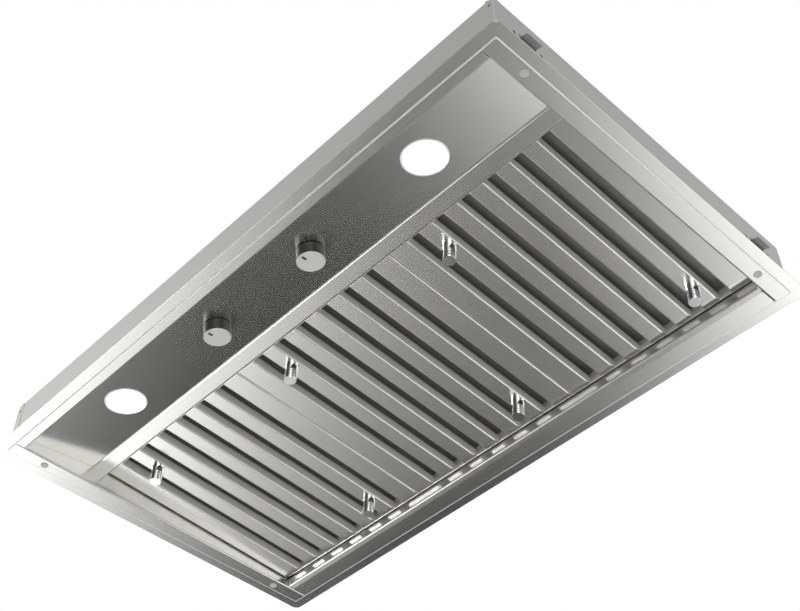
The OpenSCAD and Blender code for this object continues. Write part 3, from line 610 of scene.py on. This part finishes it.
@dataclass
class RoofFasteners:
    """Hex washer head screws that hold the duct collar and the junction box's cover."""

    across_flats_mm: float = 6.35
    washer_r_mm: float = 4.5
    washer_t_mm: float = 1.0
    head_h_mm: float = 3.9
    collar_screw_count: int = 8
    collar_inset_mm: float = 6.5
    collar_sheet_mm: float = 1.0
    cover_inset_mm: float = 9.0
    # Share of the radius at the chamfers, and shares of the height at which edges start
    chamfer: float = 0.87
    washer_edge: float = 0.6
    head_foot: float = 0.9
    head_edge: float = 0.88
    steps: int = 32

    def screw(self, shape: bmesh.types.BMesh, spot: Vector) -> None:
        """Adds one screw head that stands on a level sheet.

        Args:
            shape: the shape that gets the head.
            spot: the middle of its seat, in metres.
        """
        place = Matrix.Translation(spot)
        r, t, h = self.washer_r_mm * MM, self.washer_t_mm * MM, self.head_h_mm * MM
        hexagon = self.across_flats_mm * MM / math.sqrt(3.0)
        foot = self.head_foot * t
        lathe(shape, (
            (0.0, 0.0), (r, 0.0), (r, self.washer_edge * t), (self.chamfer * r, t), (0.0, t),
        ), place, self.steps)
        lathe(shape, (
            (0.0, foot), (hexagon, foot), (hexagon, self.head_edge * h), (self.chamfer * hexagon, h),
            (0.0, h),
        ), place, 6)

    def build(self) -> None:
        """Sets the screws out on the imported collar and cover."""
        metal = SmallMetal("screw_zinc_plated_steel", "#C3C5C6", 0.28).material()
        low, high = (Vector(corner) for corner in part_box("duct_collar"))
        middle, seat = (low + high) / 2.0, low.z + self.collar_sheet_mm * MM
        ring = (high.x - low.x) / 2.0 - self.collar_inset_mm * MM
        collar = bmesh.new()
        for k in range(self.collar_screw_count):
            turn = 2.0 * math.pi * (k + 0.5) / self.collar_screw_count
            out = Vector((ring * math.cos(turn), ring * math.sin(turn), 0.0))
            self.screw(collar, Vector((middle.x, middle.y, seat)) + out)
        place_piece(mesh_object("collar_screws", collar, metal), "hood")
        low, high = (Vector(corner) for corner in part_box("junction_cover"))
        inset = self.cover_inset_mm * MM
        cover = bmesh.new()
        for x in (low.x + inset, high.x - inset):
            for y in (low.y + inset, high.y - inset):
                self.screw(cover, Vector((x, y, high.z)))
        place_piece(mesh_object("cover_screws", cover, metal), "hood")


@dataclass
class Controls:
    """The lamps, the knobs and what is behind the panel."""

    knob_x_mm: float = 98.8
    panel_front_mm: tuple[float, float] = (-272.3, 14.4)
    panel_tilt: float = 6.75801
    control_run_mm: float = 60.2184
    knob_face_mm: float = 20.5
    mark_mm: tuple[float, float, float] = (3.5, 8.0, 0.2)
    mark_start_mm: float = 8.0
    mark_proud_mm: float = 0.05

    def marks(self, material: bpy.types.Material) -> None:
        """Prints the index mark on each knob, over its groove.

        Args:
            material: the marks' finish.
        """
        width, length, depth = self.mark_mm
        for name, x, body in (("fan_knob_mark", -self.knob_x_mm, "fan_control"),
                              ("light_knob_mark", self.knob_x_mm, "light_control")):
            place = (
                Matrix.Translation(Vector((x, *self.panel_front_mm)) * MM)
                @ Matrix.Rotation(math.radians(self.panel_tilt), 4, "X")
                @ Matrix.Translation(Vector((
                    0.0, self.control_run_mm - self.mark_start_mm - length / 2.0,
                    depth / 2.0 - self.knob_face_mm - self.mark_proud_mm)) * MM))
            shape = bmesh.new()
            block(shape, (width * MM, length * MM, depth * MM), place)
            place_piece(mesh_object(name, shape, material), body)

    def build(self) -> None:
        """Dresses the lamps, knobs and switches."""
        dress(("lamp_lenses",), LitLens("lens_frosted_polycarbonate").material())
        dress(("lamp_bezels",), SmallMetal("bezel_satin_nickel", "#F0F0EE", 0.4, 0.3).material())
        dress(("lamp_cans",), SmallMetal("can_cast_aluminium", "#B4B6B8", 0.45).material())
        tilt = math.radians(self.panel_tilt)
        # The knobs' pale face and near-black side are a painted reflection
        dress(("fan_knob", "light_knob"), KnobWithPaintedReflection(
            "knob_painted_reflection", (0.0, math.sin(tilt), -math.cos(tilt))).material())
        self.marks(MouldedPlastic("mark_black_polycarbonate", "#141414", 0.5).material())
        shaft = SmallMetal("shaft_plain_steel", "#BDBDBB", 0.3).material()
        dress(("fan_knob_shaft", "light_knob_shaft"), shaft)
        dress(("fan_switch", "light_dimmer"), MouldedPlastic("switch_black_nylon", "#1D1D1E").material())


@dataclass
class FilterBank:
    """Three baffle filters with their pulls."""

    names: tuple[str, ...] = ("left", "middle", "right")

    def build(self) -> None:
        """Dresses the filters and their pulls."""
        sheet = BrushedStainless(
            "filter_stainless_sheet", Grain.ALONG_Y, roughness=0.22, metallic=0.9,
            side_metallic=0.0).material()
        # The upper baffles' darker grey colour is painted shade: it stands for the shade deep inside the
        # slots
        shaded_inner_sheet = BrushedStainless(
            "filter_inner_sheet_painted_shade", Grain.ALONG_Y, colour="#7C7C78", deep_colour="#747470", roughness=0.36,
            metallic=0.3, side_metallic=0.3).material()
        pulls = SmallMetal("pull_polished_chrome", "#E6E6E6", 0.16).material()
        for name in self.names:
            dress((f"filter_{name}_frame", f"filter_{name}_lower_baffles"), sheet)
            dress((f"filter_{name}_upper_baffles",), shaded_inner_sheet)
            dress((f"filter_{name}_pulls",), pulls)


@dataclass
class Ventilator:
    """The blower, the duct collar with its damper, and the boxes on the roof."""

    def build(self) -> None:
        """Dresses the blower, the collar and the boxes."""
        sheet = GalvanisedSheet("galvanised_duct_sheet").material()
        dress((
            "blower_box", "scroll_wrap", "scroll_plate_front", "scroll_plate_back", "blower_wheel",
            "motor_bracket", "duct_collar", "damper_flap_left", "damper_flap_right", "junction_box",
            "junction_cover"), sheet)
        dress(("motor",), MouldedPlastic("motor_black_enamel", "#26282A", 0.35).material())
        dress(("motor_shaft", "damper_rod"), SmallMetal("rod_bright_steel", "#C4C4C2", 0.22).material())
        dress(("lamp_driver",), MouldedPlastic("driver_white_polycarbonate", "#E4E4E0", 0.45).material())
        dress(("run_capacitor",), SmallMetal("capacitor_drawn_aluminium", "#C8CACC", 0.3).material())


# Studio


@dataclass(frozen=True)
class Softbox:
    """A broad soft light, far away, that the steel mirrors.

    Its strength is at its middle and falls off with the exponent of tightness times the cosine less one.
    """

    azimuth: float
    elevation: float
    tightness: float
    strength: float

    def direction(self) -> Vector:
        """Unit vector towards the light."""
        turn, lift = math.radians(self.azimuth), math.radians(self.elevation)
        level = math.cos(lift)
        return Vector((level * math.cos(turn), level * math.sin(turn), math.sin(lift)))


@dataclass
class Studio:
    """Camera, pale floor and soft light."""

    camera_mm: tuple[float, float, float] = (1046.975, -955.839, -1329.27)
    azimuth: float = 46.204
    elevation: float = -46.118
    roll: float = 0.156
    focal_px: float = 1354.189
    picture_px: float = 800.0
    sensor_mm: float = 36.0
    floor_z: float = -2.1
    floor_half: float = 60.0
    floor_colour: str = "#F1F1EF"
    floor_roughness: float = 0.9
    clip_m: tuple[float, float] = (0.05, 200.0)
    # What a glossy ray finds between the soft boxes, from below to above the horizon
    low_light: float = 0.0
    high_light: float = 0.5
    horizon: tuple[float, float] = (-0.5, 0.1)
    # What a diffuse ray finds all round, so that a colour renders about as it is written
    room_light: float = 0.87
    # The boxes' strengths were matched to the tones of the steel in the photograph
    softboxes: tuple[Softbox, ...] = field(default_factory=lambda: (
        Softbox(183.0, -48.0, 60.0, 11.8),
        Softbox(196.0, -65.0, 30.0, 1.18),
        Softbox(169.0, -30.0, 60.0, 3.40),
        Softbox(163.0, -46.0, 60.0, 1.60),
        Softbox(97.0, -51.0, 60.0, 4.15),
        Softbox(97.0, -40.0, 60.0, 2.55),
        Softbox(40.0, -38.0, 18.0, 1.83),
        Softbox(40.0, -38.0, 60.0, 1.00),
        Softbox(-44.0, -46.0, 30.0, 4.70),
        Softbox(-46.0, 46.0, 20.0, 1.68),
        Softbox(-143.9, 28.0, 29.5, 0.97),
        Softbox(-140.0, -10.0, 30.0, 0.5),
        Softbox(53.7, 34.7, 40.0, 0.26),
    ))

    def camera(self) -> bpy.types.Object:
        """Places the camera where the photograph was taken.

        Returns:
            The camera.
        """
        turn, lift = math.radians(self.azimuth), math.radians(self.elevation)
        back = Vector((math.sin(turn) * math.cos(lift), -math.cos(turn) * math.cos(lift), math.sin(lift)))
        right = (-back).cross(Vector((0.0, 0.0, 1.0))).normalized()
        up = right.cross(-back)
        tilt = math.radians(self.roll)
        across = math.cos(tilt) * right + math.sin(tilt) * up
        above = -math.sin(tilt) * right + math.cos(tilt) * up
        data = bpy.data.cameras.new("camera")
        data.sensor_fit = "HORIZONTAL"
        data.sensor_width = self.sensor_mm
        data.lens = self.focal_px * self.sensor_mm / self.picture_px
        data.clip_start, data.clip_end = self.clip_m
        camera = bpy.data.objects.new("camera", data)
        spin = Matrix((across, above, back)).transposed().to_4x4()
        camera.matrix_world = Matrix.Translation(Vector(self.camera_mm) * MM) @ spin
        bpy.context.scene.collection.objects.link(camera)
        bpy.context.scene.camera = camera
        return camera

    def floor(self) -> bpy.types.Object:
        """Lays the pale floor, white to the camera and with the object's shadow on it.

        Returns:
            The floor.
        """
        material, tree = new_material("floor_pale_paper")
        rays = add_node(tree, "ShaderNodeLightPath")
        seen = add_node(tree, "ShaderNodeMath", {"operation": "MAXIMUM"}, {
            0: rays.outputs["Is Glossy Ray"], 1: rays.outputs["Is Transmission Ray"]})
        paper = add_node(tree, "ShaderNodeBsdfPrincipled", inputs={
            "Base Color": srgb(self.floor_colour), "Roughness": self.floor_roughness})
        clear = add_node(tree, "ShaderNodeBsdfTransparent")
        mixed = add_node(tree, "ShaderNodeMixShader", inputs={
            0: seen.outputs["Value"], 1: paper.outputs[0], 2: clear.outputs[0]})
        finish_material(tree, mixed)
        shape = bmesh.new()
        bmesh.ops.create_grid(
            shape, x_segments=1, y_segments=1, size=self.floor_half,
            matrix=Matrix.Translation((0.0, 0.0, self.floor_z)))
        floor = mesh_object("floor", shape, material)
        return floor

    def world(self) -> None:
        """Lights the scene from all round, with soft boxes that the steel mirrors."""
        world = bpy.data.worlds.new("studio")
        bpy.context.scene.world = world
        world.use_nodes = True
        world.cycles.sampling_method = "NONE"
        tree = world.node_tree
        tree.nodes.clear()
        coords = add_node(tree, "ShaderNodeTexCoord")
        split = add_node(tree, "ShaderNodeSeparateXYZ", inputs={"Vector": coords.outputs["Generated"]})
        total: Any = add_node(tree, "ShaderNodeMapRange", {"interpolation_type": "SMOOTHSTEP"}, {
            "Value": split.outputs["Z"], "From Min": self.horizon[0], "From Max": self.horizon[1],
            "To Min": self.low_light, "To Max": self.high_light}).outputs["Result"]
        for box in self.softboxes:
            facing = add_node(tree, "ShaderNodeVectorMath", {"operation": "DOT_PRODUCT"}, {
                0: coords.outputs["Generated"], 1: box.direction()})
            fall = add_node(tree, "ShaderNodeMath", {"operation": "MULTIPLY_ADD"}, {
                0: facing.outputs["Value"], 1: box.tightness, 2: -box.tightness})
            glow = add_node(tree, "ShaderNodeMath", {"operation": "EXPONENT"}, {0: fall.outputs["Value"]})
            total = add_node(tree, "ShaderNodeMath", {"operation": "MULTIPLY_ADD"}, {
                0: glow.outputs["Value"], 1: box.strength, 2: total}).outputs["Value"]
        rays = add_node(tree, "ShaderNodeLightPath")
        lit = add_node(tree, "ShaderNodeMix", {"data_type": "FLOAT"}, {
            "Factor": rays.outputs["Is Diffuse Ray"], "A": total, "B": self.room_light})
        open_rays = add_node(tree, "ShaderNodeMath", {"operation": "MAXIMUM"}, {
            0: rays.outputs["Is Camera Ray"], 1: rays.outputs["Is Transmission Ray"]})
        level = add_node(tree, "ShaderNodeMix", {"data_type": "FLOAT"}, {
            "Factor": open_rays.outputs["Value"], "A": lit.outputs["Result"], "B": 1.0})
        light = add_node(tree, "ShaderNodeBackground", inputs={
            "Color": (1.0, 1.0, 1.0, 1.0), "Strength": level.outputs["Result"]})
        add_node(tree, "ShaderNodeOutputWorld", inputs={"Surface": light.outputs[0]})

    def build(self) -> None:
        """Sets up the camera, the floor and the light."""
        self.camera()
        self.floor()
        self.world()
        settings = bpy.context.scene.view_settings
        settings.view_transform = "Standard"
        LOG.info("studio ready")


def main() -> None:
    """Builds the sub-assemblies in order and then the studio."""
    logging.basicConfig(level=logging.INFO, format="%(name)s: %(message)s")
    for part in (
        Housing(), HighlightBeads(), Controls(), FilterBank(), Ventilator(), RoofFasteners(), Studio(),
    ):
        part.build()


if __name__ == "__main__":
    main()
